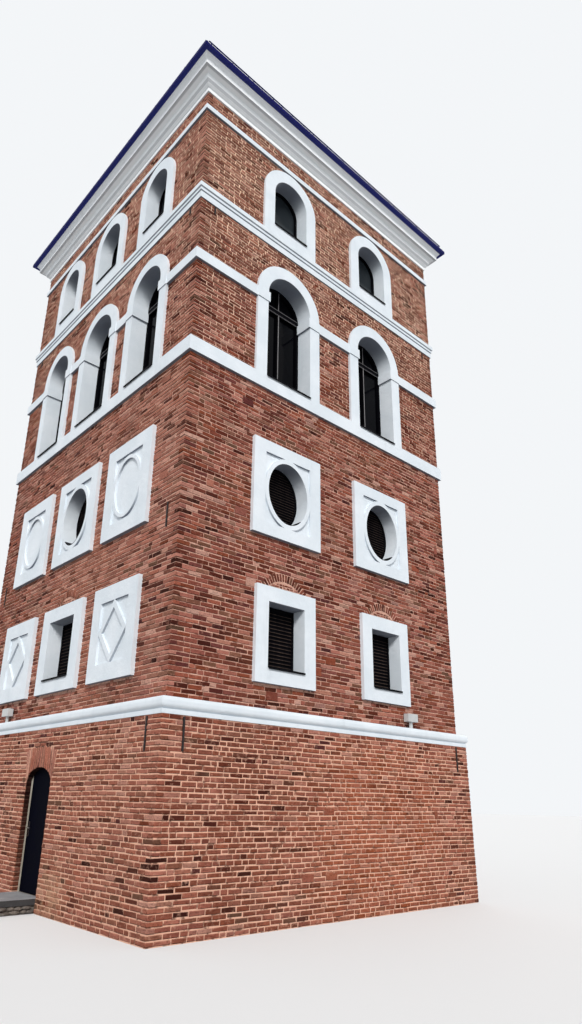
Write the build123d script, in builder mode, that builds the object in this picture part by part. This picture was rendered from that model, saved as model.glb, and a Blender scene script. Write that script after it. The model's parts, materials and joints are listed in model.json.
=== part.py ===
"""A square brick bell tower with plaster dressings, built storey by storey from the ground up."""
import os
from collections import namedtuple
from math import atan, radians, sin, tan

from build123d import *

os.makedirs("parts", exist_ok=True)

# Plan: X runs along the door side, Y along the flanks, and the door side faces -Y
shaft_width = 7350.0
shaft_depth = 7250.0
wall = 900.0
base_proud_top = 130.0
base_proud_foot = 150.0

# Heights, each counted from the piece below it
base_height = 2911.0
moulding_fillet = 68.0
moulding_roll = 183.0
square_gap = 416.0
square_height = 1652.0
round_gap = 920.0
round_height = 1850.0
sill_band_gap = 1100.0
sill_band_height = 290.0
tall_height = 2800.0
impost_gap = 1715.0
impost_height = 225.0
attic_band_gap = 390.0
attic_band_height = 325.0
attic_height = 1935.0
string_gap = 60.0
string_height = 117.0
frieze_height = 385.0
cornice_height = 545.0
eave_edge_height = 80.0
roof_pitch = 27.0
roof_thickness = 90.0
ridge_cap_width = 60.0

# How far the dressings stand out from the wall
moulding_fillet_proud = 145.0
moulding_roll_proud = 172.0
plaque_proud = 80.0
surround_proud = 60.0
band_proud = 60.0
impost_block_proud = 76.0
attic_band_prouds = (30.0, 30.0, 50.0, 50.0, 72.0, 72.0)
string_proud = 48.0
cornice_prouds = (30.0, 30.0, 85.0, 131.0, 131.0, 273.0, 273.0, 343.0)

# Where a moulding changes its slope, as shares of its height, and how round the roll is
attic_band_shares = (0.0, 0.42, 0.47, 0.64, 0.7, 1.0)
cornice_shares = (0.0, 0.17, 0.26, 0.39, 0.55, 0.62, 0.83, 1.0)
roll_round_share = 0.42
eave_proud = 435.0

# Bays along the two kinds of side
front_bay_pitch = 2005.0
flank_bay_pitch = 2670.0

# Openings, and the plaster that lines them
square_opening_rise = 256.0
square_opening_height = 1128.0
oculus_width = 970.0
oculus_height = 1210.0
oculus_ring_width = 1135.0
oculus_ring_height = 1390.0
attic_sill_rise = 275.0
lining = 30.0
square_reveal = 200.0
oculus_reveal = 210.0
tall_reveal = 300.0
attic_reveal = 250.0
impost_inset = 36.0

# Relief on the blind plaques
relief_depth = 40.0
diamond_width = 930.0
diamond_height = 1090.0
diamond_rim = 90.0
roundel_recess_height = 1296.0
roundel_width = 960.0
roundel_height = 1217.0
roundel_rim = 70.0
rim_overlap = 8.0

# Frames, glass, louvres and sills
louvre_thickness = 60.0
louvre_pocket = 26.0
louvre_rim = 45.0
frame_thickness = 50.0
frame_rim = 50.0
bar_width = 36.0
glass_thickness = 12.0
sill_thickness = 12.0
sill_overhang = 24.0
sill_side_clearance = 2.0
oculus_sill_rise = 150.0

# Doorway, on the middle of the front
brick_over_door = 525.0
door_opening_width = 1030.0
door_arch_rise = 280.0
door_stop_proud = 30.0
passage_width = 1130.0
floor_thickness = 220.0
door_post_width = 95.0
door_head_height = 80.0
door_head_over_arch = 38.0
door_thickness = 50.0
door_clearance = 8.0
door_front_clearance = 10.0
door_floor_clearance = 10.0
knuckle_radius = 14.0
pin_radius = 8.0
pin_clearance = 0.3
strap_thickness = 8.0
strap_height = 46.0
strap_length = 360.0
post_plate_length = 70.0
hinge_inset = 260.0
handle_height = 1010.0
handle_inset = 70.0
handle_proud = 45.0
handle_length = 130.0
handle_thickness = 16.0
handle_plate_width = 38.0
handle_plate_height = 240.0
handle_plate_thickness = 5.0
step_projection = 700.0
step_slab_thickness = 90.0
step_footing_inset = 40.0

# Floors that the window rows and wall anchors show
storey_floor_thickness = 250.0
square_floor_drop = 880.0
round_floor_drop = 600.0
tall_floor_drop = 540.0
attic_floor_drop = 830.0

# Ironwork and lamps
anchor_width = 28.0
anchor_proud = 24.0
anchor_inset = 330.0
anchor_low_inset = 240.0
anchor_low_length = 480.0
anchor_low_drop = 20.0
anchor_mid_length = 430.0
anchor_mid_rise = 180.0
anchor_top_length = 170.0
anchor_top_drop = 20.0
lamp_width = 300.0
lamp_height = 150.0
lamp_depth = 110.0
lamp_wall_gap = 30.0
lamp_foot = 120.0
lamp_foot_width = 75.0
lamp_offset = 2000.0
guard_height = 150.0
guard_radius = 14.0
guard_setback = 60.0
guard_post_pitch = 900.0
guard_post_radius = 9.0

# Levels that follow from the heights
base_top = base_height
moulding_top = base_top + moulding_fillet + moulding_roll
square_bottom = moulding_top + square_gap
square_top = square_bottom + square_height
round_bottom = square_top + round_gap
round_top = round_bottom + round_height
sill_band_bottom = round_top + sill_band_gap
tall_bottom = sill_band_bottom + sill_band_height
tall_top = tall_bottom + tall_height
impost_bottom = tall_bottom + impost_gap
impost_top = impost_bottom + impost_height
attic_band_bottom = tall_top + attic_band_gap
attic_bottom = attic_band_bottom + attic_band_height
attic_top = attic_bottom + attic_height
attic_sill = attic_bottom + attic_sill_rise
string_bottom = attic_top + string_gap
string_top = string_bottom + string_height
wall_top = string_top + frieze_height
cornice_top = wall_top + cornice_height
eave_top = cornice_top + eave_edge_height
square_sill = square_bottom + square_opening_rise
round_middle = (round_bottom + round_top) / 2

# Half sizes of the plan
half_width = shaft_width / 2
half_depth = shaft_depth / 2
inner_half_width = half_width - wall
inner_half_depth = half_depth - wall

# One bay of a side: where it stands and how wide its dressings and openings are
Bay = namedtuple("Bay", "offset blind square square_opening round tall tall_opening attic attic_opening")
Side = namedtuple("Side", "name plane half bays")

outer_bay_sizes = (1470.0, 0.0, 1535.0, 1500.0, 1015.0, 1285.0, 785.0)
middle_bay_sizes = (1640.0, 1020.0, 1650.0, 1660.0, 1167.0, 1408.0, 900.0)
flank_bay_sizes = (1390.0, 843.0, 1670.0, 1705.0, 1160.0, 1490.0, 932.0)

front_bays = (
    Bay(-front_bay_pitch, True, *outer_bay_sizes),
    Bay(0.0, False, *middle_bay_sizes),
    Bay(front_bay_pitch, True, *outer_bay_sizes),
)
flank_bays = (
    Bay(-flank_bay_pitch / 2, False, *flank_bay_sizes),
    Bay(flank_bay_pitch / 2, False, *flank_bay_sizes),
)

# On each side's plane, X runs to the right as seen from outside, Y is up, and Z points outwards
front = Side("front", Plane((0, -half_depth, 0), (1, 0, 0), (0, -1, 0)), half_width, front_bays)
right = Side("right", Plane((half_width, 0, 0), (0, 1, 0), (1, 0, 0)), half_depth, flank_bays)
back = Side("back", Plane((0, half_depth, 0), (-1, 0, 0), (0, 1, 0)), half_width, front_bays)
left = Side("left", Plane((-half_width, 0, 0), (0, -1, 0), (-1, 0, 0)), half_depth, flank_bays)
sides = (front, right, back, left)
all_bays = [(side, bay) for side in sides for bay in side.bays]
open_bays = [(side, bay) for side, bay in all_bays if not bay.blind]
blind_bays = [(side, bay) for side, bay in all_bays if bay.blind]


def round_headed(width, bottom, top, mode=Mode.ADD):
    """Draw a round-headed outline between two levels in the sketch at hand."""
    springing = top - width / 2
    with Locations((0, (bottom + springing) / 2)):
        Rectangle(width, springing - bottom, mode=mode)
    with Locations((0, springing)):
        Circle(width / 2, mode=mode)


def box_outline(width, bottom, top, mode=Mode.ADD):
    """Draw a rectangle between two levels in the sketch at hand."""
    with Locations((0, (bottom + top) / 2)):
        Rectangle(width, top - bottom, mode=mode)


def oval_outline(width, height, middle, mode=Mode.ADD):
    """Draw an upright oval about a level in the sketch at hand."""
    with Locations((0, middle)):
        Ellipse(width / 2, height / 2, mode=mode)


def square_hole(bay, grow=0.0, mode=Mode.ADD):
    """The square window's opening, or one larger all round by `grow`."""
    top = square_sill + square_opening_height
    box_outline(bay.square_opening + 2 * grow, square_sill - grow, top + grow, mode)


def oculus_hole(bay, grow=0.0, mode=Mode.ADD):
    """The oval window's opening, or one larger all round by `grow`."""
    oval_outline(oculus_width + 2 * grow, oculus_height + 2 * grow, round_middle, mode)


def tall_head(bay):
    """Crown of a tall window's opening: its arch has the same centre as the surround's."""
    return tall_top - (bay.tall - bay.tall_opening) / 2


def tall_hole(bay, grow=0.0, mode=Mode.ADD):
    """The tall window's opening, or one larger all round by `grow`."""
    round_headed(bay.tall_opening + 2 * grow, tall_bottom - grow, tall_head(bay) + grow, mode)


def attic_head(bay):
    """Crown of an attic window's opening."""
    return attic_top - (bay.attic - bay.attic_opening) / 2


def attic_hole(bay, grow=0.0, mode=Mode.ADD):
    """The attic window's opening, or one larger all round by `grow`."""
    round_headed(bay.attic_opening + 2 * grow, attic_sill - grow, attic_head(bay) + grow, mode)


def extrude_outline(side, bay, draw, start, amount, mode=Mode.ADD):
    """Extrude an outline of one bay from `start` in front of the wall's face by `amount`."""
    with BuildSketch(side.plane.offset(start)) as outline:
        with Locations((bay.offset, 0)):
            draw(bay)
    extrude(outline.sketch, amount=amount, mode=mode)


def finish(piece, name):
    """Label a finished piece and write it."""
    piece.part.label = name
    export_step(piece.part, f"parts/{name}.step")


def leaning_block(low, high, foot, head):
    """Make a block whose four flat sides lean from its foot's half sizes in to its head's."""
    with BuildPart(mode=Mode.PRIVATE) as block:
        with BuildSketch(Plane.XZ):
            Polygon((-foot[0], low), (foot[0], low), (head[0], high), (-head[0], high), align=None)
        extrude(amount=max(foot[1], head[1]), both=True)
        with BuildSketch(Plane.YZ):
            Polygon((-foot[1], low), (foot[1], low), (head[1], high), (-head[1], high), align=None)
        extrude(amount=max(foot[0], head[0]), both=True, mode=Mode.INTERSECT)
    return block.part


def course(low, high, proud_low, proud_high):
    """Make one course round the shaft, straight or sloping, from how far it stands out from the walls."""
    foot = (half_width + proud_low, half_depth + proud_low)
    head = (half_width + proud_high, half_depth + proud_high)
    return leaning_block(low, high, foot, head)


def base_frustum():
    """The battered base's outer form, cut below into its walls with the doorway's pieces apart."""
    add(course(0, base_height, base_proud_foot, base_proud_top))


def keep_box(low, high):
    """Keep what lies inside a box given by two corners."""
    size = [b - a for a, b in zip(low, high)]
    with Locations(low):
        Box(*size, align=(Align.MIN, Align.MIN, Align.MIN), mode=Mode.INTERSECT)


def cut_box(low, high):
    """Cut away what lies inside a box given by two corners."""
    size = [b - a for a, b in zip(low, high)]
    with Locations(low):
        Box(*size, align=(Align.MIN, Align.MIN, Align.MIN), mode=Mode.SUBTRACT)


reach_x = half_width + base_proud_foot + 1
reach_y = half_depth + base_proud_foot + 1
stop_back = -half_depth - door_stop_proud
passage_half = passage_width / 2
opening_half = door_opening_width / 2
passage_top = base_height - brick_over_door
leaf_top = passage_top - door_head_height - door_clearance
door_springing = leaf_top - door_head_over_arch - door_arch_rise

with BuildPart() as base_back:
    base_frustum()
    keep_box((-reach_x, inner_half_depth, 0), (reach_x, reach_y, base_height))
finish(base_back, "base_back")

for name, low_x, high_x in (("base_right", inner_half_width, reach_x), ("base_left", -reach_x, -inner_half_width)):
    with BuildPart() as base_flank:
        base_frustum()
        keep_box((low_x, -inner_half_depth, 0), (high_x, inner_half_depth, base_height))
    finish(base_flank, name)

for name, sign in (("base_front_right", 1), ("base_front_left", -1)):
    with BuildPart() as base_jamb:
        base_frustum()
        x_near, x_far = sorted((sign * opening_half, sign * reach_x))
        keep_box((x_near, -reach_y, 0), (x_far, -inner_half_depth, base_height))
        cut_box((-passage_half, stop_back, 0), (passage_half, -inner_half_depth, base_height))
        cut_box((-passage_half, -reach_y, door_springing), (passage_half, stop_back, base_height))
    finish(base_jamb, name)

with BuildPart() as base_over_door:
    base_frustum()
    keep_box((-passage_half, -reach_y, door_springing), (passage_half, -inner_half_depth, base_height))
    cut_box((-passage_half, stop_back, door_springing), (passage_half, -inner_half_depth, passage_top))
    with BuildSketch(front.plane.offset(base_proud_foot)) as arch_cut:
        with Locations((0, door_springing)):
            Ellipse(opening_half, door_arch_rise)
            Rectangle(
                door_opening_width, door_arch_rise, align=(Align.CENTER, Align.MIN), mode=Mode.INTERSECT
            )
    extrude(amount=stop_back + half_depth + base_proud_foot, mode=Mode.SUBTRACT, dir=(0, 1, 0))
finish(base_over_door, "base_over_door")


# Shaft: each storey has four walls with their windows cut through
def storey(name, low, high, bays, *holes):
    """Make a storey's four walls, with each kind of hole in the bays that have it."""
    for side in sides:
        with BuildPart() as walls:
            with BuildSketch(Plane.XY.offset(low)):
                Rectangle(shaft_width, shaft_depth)
            extrude(amount=high - low)
            if side is front:
                keep_box((-half_width, -half_depth, low), (half_width, -inner_half_depth, high))
            elif side is back:
                keep_box((-half_width, inner_half_depth, low), (half_width, half_depth, high))
            elif side is right:
                keep_box((inner_half_width, -inner_half_depth, low), (half_width, inner_half_depth, high))
            else:
                keep_box((-half_width, -inner_half_depth, low), (-inner_half_width, inner_half_depth, high))
            for hole in holes:
                for owner, bay in bays:
                    if owner is side:
                        extrude_outline(side, bay, lambda b: hole(b, lining), 0, -wall, Mode.SUBTRACT)
        finish(walls, f"{name}_{side.name}")


storey("shaft", base_top, sill_band_bottom, open_bays, square_hole, oculus_hole)
storey("belfry", sill_band_bottom, attic_band_bottom, all_bays, tall_hole)
storey("attic", attic_band_bottom, wall_top, all_bays, attic_hole)


# Mouldings that run round the shaft
def clear_inside(low, high, inset=0.0):
    """Open the moulding to the wall's face, or to a line inside it."""
    with BuildSketch(Plane.XY.offset(low)) as inside:
        Rectangle(shaft_width - 2 * inset, shaft_depth - 2 * inset)
    extrude(inside.sketch, amount=high - low, mode=Mode.SUBTRACT)


roll_bottom = base_top + moulding_fillet
with BuildPart() as base_moulding:
    add(course(base_top, roll_bottom, moulding_fillet_proud, moulding_fillet_proud))
    clear_inside(base_top, roll_bottom)
    with BuildPart(mode=Mode.PRIVATE) as roll:
        add(course(roll_bottom, moulding_top, moulding_roll_proud, moulding_roll_proud))
        level_edges = roll.edges().filter_by(Axis.Z, reverse=True)
        fillet(level_edges, moulding_roll * roll_round_share)
        clear_inside(roll_bottom, moulding_top)
    add(roll.part)
finish(base_moulding, "base_moulding")

with BuildPart() as sill_band:
    add(course(sill_band_bottom, tall_bottom, band_proud, band_proud))
    clear_inside(sill_band_bottom, tall_bottom)
finish(sill_band, "sill_band")

with BuildPart() as impost_band:
    add(course(impost_bottom, impost_top, band_proud, band_proud))
    clear_inside(impost_bottom, impost_top)
    for side, bay in all_bays:
        extrude_outline(side, bay, lambda b: box_outline(b.tall, impost_bottom, impost_top), 0, band_proud,
                        Mode.SUBTRACT)
finish(impost_band, "impost_band")


def moulding(low, high, shares, prouds):
    """Make a moulding whose face is given by how far it stands out at each share of its height."""
    levels = [low + (high - low) * share for share in shares]
    with BuildPart(mode=Mode.PRIVATE) as made:
        for number in range(len(levels) - 1):
            add(course(levels[number], levels[number + 1], prouds[number], prouds[number + 1]))
    return made.part


with BuildPart() as attic_cornice:
    add(moulding(attic_band_bottom, attic_bottom, attic_band_shares, attic_band_prouds))
    clear_inside(attic_band_bottom, attic_bottom)
finish(attic_cornice, "attic_cornice")

with BuildPart() as string_course:
    add(course(string_bottom, string_top, string_proud, string_proud))
    clear_inside(string_bottom, string_top)
finish(string_course, "string_course")

with BuildPart() as main_cornice:
    add(moulding(wall_top, cornice_top, cornice_shares, cornice_prouds))
    clear_inside(wall_top, cornice_top, wall)
finish(main_cornice, "main_cornice")

with BuildPart() as eave_edge:
    add(course(cornice_top, eave_top, eave_proud, eave_proud))
    clear_inside(cornice_top, eave_top, wall / 2)
finish(eave_edge, "eave_edge")

# Low hipped roof with a short capped ridge along the longer side
def roof_form(foot):
    """Make a hipped form on the eave's level from its half sizes there."""
    run = min(foot) - ridge_cap_width / 2
    head = (foot[0] - run, foot[1] - run)
    return leaning_block(eave_top, eave_top + run * tan(radians(roof_pitch)), foot, head)


with BuildPart() as roof_covering:
    hollow_proud = eave_proud - roof_thickness / tan(radians(roof_pitch))
    add(roof_form((half_width + eave_proud, half_depth + eave_proud)))
    add(roof_form((half_width + hollow_proud, half_depth + hollow_proud)), mode=Mode.SUBTRACT)
finish(roof_covering, "roof_covering")

# Snow guard along the right eave: a tube on short posts
guard_x = half_width + eave_proud - guard_setback
guard_half = half_depth + eave_proud - 2 * guard_setback
guard_posts = int(2 * guard_half // guard_post_pitch) + 1
with BuildPart() as snow_guard:
    roof_at_guard = eave_top + (guard_setback + guard_post_radius) * tan(radians(roof_pitch))
    with BuildSketch(Plane.XZ.offset(guard_half)):
        with Locations((guard_x, eave_top + guard_height)):
            Circle(guard_radius)
    extrude(amount=-2 * guard_half)
    with BuildSketch(Plane.XY.offset(roof_at_guard)):
        with Locations((guard_x, 0)):
            with GridLocations(0, 2 * (guard_half - guard_setback) / (guard_posts - 1), 1, guard_posts):
                Circle(guard_post_radius)
    extrude(amount=eave_top + guard_height - roof_at_guard)
finish(snow_guard, "snow_guard")


# Plaster dressings: a proud slab round each opening and a lining that runs in to the window
def dress_opening(side, bay, outline, hole, proud, depth):
    """Add one window's surround, with its lined reveal."""
    def slab(b):
        outline(b)
        hole(b, mode=Mode.SUBTRACT)

    def sleeve(b):
        hole(b, lining)
        hole(b, mode=Mode.SUBTRACT)

    extrude_outline(side, bay, slab, 0, proud)
    extrude_outline(side, bay, sleeve, 0, -depth)


def square_slab(bay):
    """Outer edge of a lower plaque."""
    box_outline(bay.square, square_bottom, square_top)


def round_slab(bay):
    """Outer edge of an upper plaque."""
    box_outline(bay.round, round_bottom, round_top)


def tall_slab(bay):
    """Outer edge of a tall window's surround."""
    round_headed(bay.tall, tall_bottom, tall_top)


def attic_slab(bay):
    """Outer edge of an attic window's surround."""
    round_headed(bay.attic, attic_bottom, attic_top)


with BuildPart() as square_surrounds:
    for side, bay in open_bays:
        dress_opening(side, bay, square_slab, square_hole, plaque_proud, square_reveal + louvre_thickness)
finish(square_surrounds, "square_surrounds")


def oculus_spandrels(bay):
    """The sunk corners between the oval rim and its square panel."""
    half_height = oculus_ring_height / 2 - rim_overlap
    box_outline(oculus_ring_width - 2 * rim_overlap, round_middle - half_height, round_middle + half_height)
    oval_outline(oculus_ring_width, oculus_ring_height, round_middle, Mode.SUBTRACT)


with BuildPart() as oculus_surrounds:
    for side, bay in open_bays:
        dress_opening(side, bay, round_slab, oculus_hole, plaque_proud, oculus_reveal + louvre_thickness)
        extrude_outline(side, bay, oculus_spandrels, plaque_proud, -relief_depth, Mode.SUBTRACT)
finish(oculus_surrounds, "oculus_surrounds")


def impost_blocks(bay):
    """Two blocks at the springing, from the surround's outer edge to just inside the opening."""
    box_outline(bay.tall, impost_bottom, impost_top)
    box_outline(bay.tall_opening - 2 * impost_inset, impost_bottom, impost_top, Mode.SUBTRACT)


def impost_returns(bay):
    """The part of the imposts that runs in along the reveal."""
    box_outline(bay.tall_opening + lining, impost_bottom, impost_top)
    box_outline(bay.tall_opening - 2 * impost_inset, impost_bottom, impost_top, Mode.SUBTRACT)


with BuildPart() as tall_surrounds:
    for side, bay in all_bays:
        dress_opening(side, bay, tall_slab, tall_hole, surround_proud, tall_reveal + frame_thickness + glass_thickness)
        extrude_outline(side, bay, impost_blocks, 0, impost_block_proud)
        extrude_outline(side, bay, impost_returns, 0, -tall_reveal)
finish(tall_surrounds, "tall_surrounds")

with BuildPart() as attic_surrounds:
    for side, bay in all_bays:
        depth = attic_reveal + frame_thickness + glass_thickness
        dress_opening(side, bay, attic_slab, attic_hole, surround_proud, depth)
finish(attic_surrounds, "attic_surrounds")


# Blind plaques with their reliefs
square_middle = (square_bottom + square_top) / 2


def lozenge(width, height, mode=Mode.ADD):
    """Draw a diamond about the lower plaques' middle."""
    corners = [(-width / 2, 0), (0, -height / 2), (width / 2, 0), (0, height / 2)]
    with Locations((0, square_middle)):
        Polygon(*corners, align=None, mode=mode)


def diamond_corners(bay):
    """The sunk triangles round the diamond."""
    half_height = diamond_height / 2 - rim_overlap
    box_outline(diamond_width - 2 * rim_overlap, square_middle - half_height, square_middle + half_height)
    lozenge(diamond_width, diamond_height, Mode.SUBTRACT)


def diamond_field(bay):
    """The sunk field inside the diamond's rim."""
    slope = atan(diamond_height / diamond_width)
    across = 2 * diamond_rim / sin(slope)
    lozenge(diamond_width - across, diamond_height - across * tan(slope))


with BuildPart() as diamond_plaques:
    for side, bay in blind_bays:
        extrude_outline(side, bay, square_slab, 0, plaque_proud)
        extrude_outline(side, bay, diamond_corners, plaque_proud, -relief_depth, Mode.SUBTRACT)
        extrude_outline(side, bay, diamond_field, plaque_proud, -relief_depth, Mode.SUBTRACT)
finish(diamond_plaques, "diamond_plaques")


def roundel_corners(bay):
    """The sunk panel round the roundel."""
    half_height = roundel_recess_height / 2
    box_outline(roundel_width - 2 * rim_overlap, round_middle - half_height, round_middle + half_height)
    oval_outline(roundel_width, roundel_height, round_middle, Mode.SUBTRACT)


def roundel_field(bay):
    """The sunk field inside the roundel's rim."""
    oval_outline(roundel_width - 2 * roundel_rim, roundel_height - 2 * roundel_rim, round_middle)


with BuildPart() as roundel_plaques:
    for side, bay in blind_bays:
        extrude_outline(side, bay, round_slab, 0, plaque_proud)
        extrude_outline(side, bay, roundel_corners, plaque_proud, -relief_depth, Mode.SUBTRACT)
        extrude_outline(side, bay, roundel_field, plaque_proud, -relief_depth, Mode.SUBTRACT)
finish(roundel_plaques, "roundel_plaques")

# Louvre panels: a rim round a sunk back plate
with BuildPart() as square_louvres:
    for side, bay in open_bays:
        extrude_outline(side, bay, square_hole, -square_reveal, -louvre_thickness)
        extrude_outline(side, bay, lambda b: square_hole(b, -louvre_rim), -square_reveal, -louvre_pocket,
                        Mode.SUBTRACT)
finish(square_louvres, "square_louvres")

with BuildPart() as oculus_louvres:
    for side, bay in open_bays:
        extrude_outline(side, bay, oculus_hole, -oculus_reveal, -louvre_thickness)
        extrude_outline(side, bay, lambda b: oculus_hole(b, -louvre_rim), -oculus_reveal, -louvre_pocket,
                        Mode.SUBTRACT)
finish(oculus_louvres, "oculus_louvres")


# Window frames and their panes
def tall_frame(bay):
    """Rim, middle bar and transom of a tall window."""
    tall_hole(bay)
    tall_hole(bay, -frame_rim, Mode.SUBTRACT)
    box_outline(bar_width, tall_bottom + frame_rim / 2, tall_head(bay) - frame_rim / 2)
    box_outline(bay.tall_opening - frame_rim, impost_top - bar_width / 2, impost_top + bar_width / 2)


def attic_frame(bay):
    """Rim of an attic window."""
    attic_hole(bay)
    attic_hole(bay, -frame_rim, Mode.SUBTRACT)


with BuildPart() as window_frames:
    for side, bay in all_bays:
        extrude_outline(side, bay, tall_frame, -tall_reveal, -frame_thickness)
        extrude_outline(side, bay, attic_frame, -attic_reveal, -frame_thickness)
finish(window_frames, "window_frames")

with BuildPart() as window_glass:
    for side, bay in all_bays:
        extrude_outline(side, bay, tall_hole, -tall_reveal - frame_thickness, -glass_thickness)
        extrude_outline(side, bay, attic_hole, -attic_reveal - frame_thickness, -glass_thickness)
finish(window_glass, "window_glass")


# Thin metal sills that run from each window out over the plaster
def sill_plate(width, level):
    """Draw a sill's front edge."""
    box_outline(width - 2 * sill_side_clearance, level, level + sill_thickness)


def oculus_sill(bay):
    """The strip that lines the bottom of an oval opening."""
    oculus_hole(bay, -sill_side_clearance)
    oculus_hole(bay, -sill_side_clearance - sill_thickness, Mode.SUBTRACT)
    with Locations((0, round_middle - oculus_height / 2)):
        Rectangle(oculus_width, 2 * oculus_sill_rise, mode=Mode.INTERSECT)


with BuildPart() as metal_sills:
    for side, bay in open_bays:
        length = square_reveal + plaque_proud
        extrude_outline(side, bay, lambda b: sill_plate(b.square_opening, square_sill), -square_reveal,
                        length + sill_overhang)
        extrude_outline(side, bay, oculus_sill, -oculus_reveal, oculus_reveal + plaque_proud)
    for side, bay in all_bays:
        length = tall_reveal + surround_proud
        extrude_outline(side, bay, lambda b: sill_plate(b.tall_opening, tall_bottom), -tall_reveal,
                        length + sill_overhang)
        length = attic_reveal + surround_proud
        extrude_outline(side, bay, lambda b: sill_plate(b.attic_opening, attic_sill), -attic_reveal,
                        length + sill_overhang)
finish(metal_sills, "metal_sills")


# Iron wall anchors near the corners
def anchor_bars(face, reach, top, length):
    """Add an upright bar on a face at each end of its reach."""
    with BuildSketch(face) as bars:
        with Locations((-reach, top - length / 2), (reach, top - length / 2)):
            Rectangle(anchor_width, length)
    extrude(bars.sketch, amount=anchor_proud)


batter = (base_proud_foot - base_proud_top) / base_height
with BuildPart() as wall_anchors:
    for side in sides:
        ledge = side.plane.from_local_coords((0, base_height, base_proud_top))
        leaning_face = Plane(ledge, side.plane.x_dir, side.plane.z_dir + Vector(0, 0, batter))
        anchor_bars(leaning_face, side.half - anchor_low_inset, -anchor_low_drop, anchor_low_length)
        anchor_bars(side.plane, side.half - anchor_inset, attic_band_bottom - anchor_top_drop, anchor_top_length)
    for side in (front, back):
        anchor_bars(side.plane, side.half - anchor_inset, round_bottom + anchor_mid_rise, anchor_mid_length)
finish(wall_anchors, "wall_anchors")

# Two small floodlights on the moulding, on the front and on the right side
with BuildPart() as floodlights:
    for side, offset in ((front, -lamp_offset), (right, lamp_offset)):
        with BuildSketch(side.plane.offset(lamp_wall_gap)):
            with Locations((offset, moulding_top + lamp_foot + lamp_height / 2)):
                Rectangle(lamp_width, lamp_height)
        extrude(amount=lamp_depth)
        with BuildSketch(side.plane.offset(2 * lamp_wall_gap)):
            with Locations((offset, moulding_top + lamp_foot / 2)):
                Rectangle(lamp_foot_width, lamp_foot)
        extrude(amount=lamp_wall_gap)
finish(floodlights, "floodlights")

# Floors
with BuildPart() as ground_floor:
    with BuildSketch(Plane.XY):
        Rectangle(2 * inner_half_width, 2 * inner_half_depth)
        with Locations((0, stop_back)):
            Rectangle(passage_width, -inner_half_depth - stop_back, align=(Align.CENTER, Align.MIN))
    extrude(amount=floor_thickness)
finish(ground_floor, "ground_floor")

floor_levels = (
    square_sill - square_floor_drop,
    round_bottom - round_floor_drop,
    tall_bottom - tall_floor_drop,
    attic_sill - attic_floor_drop,
)
with BuildPart() as upper_floors:
    for level in floor_levels:
        with BuildSketch(Plane.XY.offset(level)):
            Rectangle(2 * inner_half_width, 2 * inner_half_depth)
        extrude(amount=-storey_floor_thickness)
finish(upper_floors, "upper_floors")

# Landing slab and its footing, which run in through the doorway's brick stop
step_front = -half_depth - base_proud_foot - step_projection
with BuildPart() as door_step:
    with BuildSketch(Plane.XY.offset(floor_thickness - step_slab_thickness)):
        with Locations((0, step_front)):
            Rectangle(door_opening_width, stop_back - step_front, align=(Align.CENTER, Align.MIN))
    extrude(amount=step_slab_thickness)
finish(door_step, "door_step")

with BuildPart() as step_footing:
    with BuildSketch(Plane.XY):
        with Locations((0, step_front + step_footing_inset)):
            Rectangle(
                door_opening_width - 2 * step_footing_inset,
                stop_back - step_front - step_footing_inset,
                align=(Align.CENTER, Align.MIN),
            )
        with Locations((0, stop_back)):
            Rectangle(door_opening_width, -stop_back - half_depth, align=(Align.CENTER, Align.MAX))
    extrude(amount=floor_thickness - step_slab_thickness)
finish(step_footing, "step_footing")

# Door frame: two posts and a head, just behind the brick stop
leaf_bottom = floor_thickness + door_floor_clearance
post_inner = passage_half - door_post_width
post_top = leaf_top + door_clearance
leaf_face = stop_back + door_front_clearance
leaf_back = leaf_face + door_thickness
with BuildPart() as door_frame:
    with BuildSketch(Plane.XZ.offset(-leaf_back)):
        box_outline(passage_width, floor_thickness, passage_top)
        box_outline(2 * post_inner, floor_thickness, post_top, Mode.SUBTRACT)
    extrude(amount=leaf_back - stop_back)
finish(door_frame, "door_frame")

# Door leaf, hinged on the right as seen from outside, opening inwards
leaf_half = post_inner - door_clearance
with BuildPart() as door_leaf:
    with BuildSketch(Plane.XZ.offset(-leaf_back)):
        box_outline(2 * leaf_half, leaf_bottom, leaf_top)
    extrude(amount=door_thickness)
finish(door_leaf, "door_leaf")

# Strap hinges on the leaf's inner face, each over a pin that a plate holds to the post
pivot = (leaf_half + door_clearance / 2, leaf_back + knuckle_radius + pin_clearance)
hinge_levels = (leaf_bottom + hinge_inset, (leaf_bottom + leaf_top) / 2, leaf_top - hinge_inset)


def corner_block(corner, width, depth):
    """Draw a block in plan from its left front corner."""
    with Locations(corner):
        Rectangle(width, depth, align=(Align.MIN, Align.MIN))


with BuildPart() as hinge_straps:
    for level in hinge_levels:
        with BuildSketch(Plane.XY.offset(level + pin_clearance)):
            corner_block((leaf_half - strap_length, leaf_back), strap_length, strap_thickness)
            corner_block((pivot[0] - knuckle_radius, leaf_back), knuckle_radius - door_clearance / 2, knuckle_radius)
            with Locations(pivot):
                Circle(knuckle_radius)
                Circle(pin_radius + pin_clearance, mode=Mode.SUBTRACT)
        extrude(amount=strap_height)
finish(hinge_straps, "hinge_straps")

with BuildPart() as hinge_pins:
    for level in hinge_levels:
        with BuildSketch(Plane.XY.offset(level - strap_height)):
            corner_block((post_inner, leaf_back), post_plate_length, strap_thickness)
            corner_block((pivot[0], leaf_back + pin_clearance), knuckle_radius, knuckle_radius)
            with Locations(pivot):
                Circle(knuckle_radius)
        extrude(amount=strap_height)
        with BuildSketch(Plane.XY.offset(level)):
            with Locations(pivot):
                Circle(pin_radius)
        extrude(amount=strap_height)
finish(hinge_pins, "hinge_pins")

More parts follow.
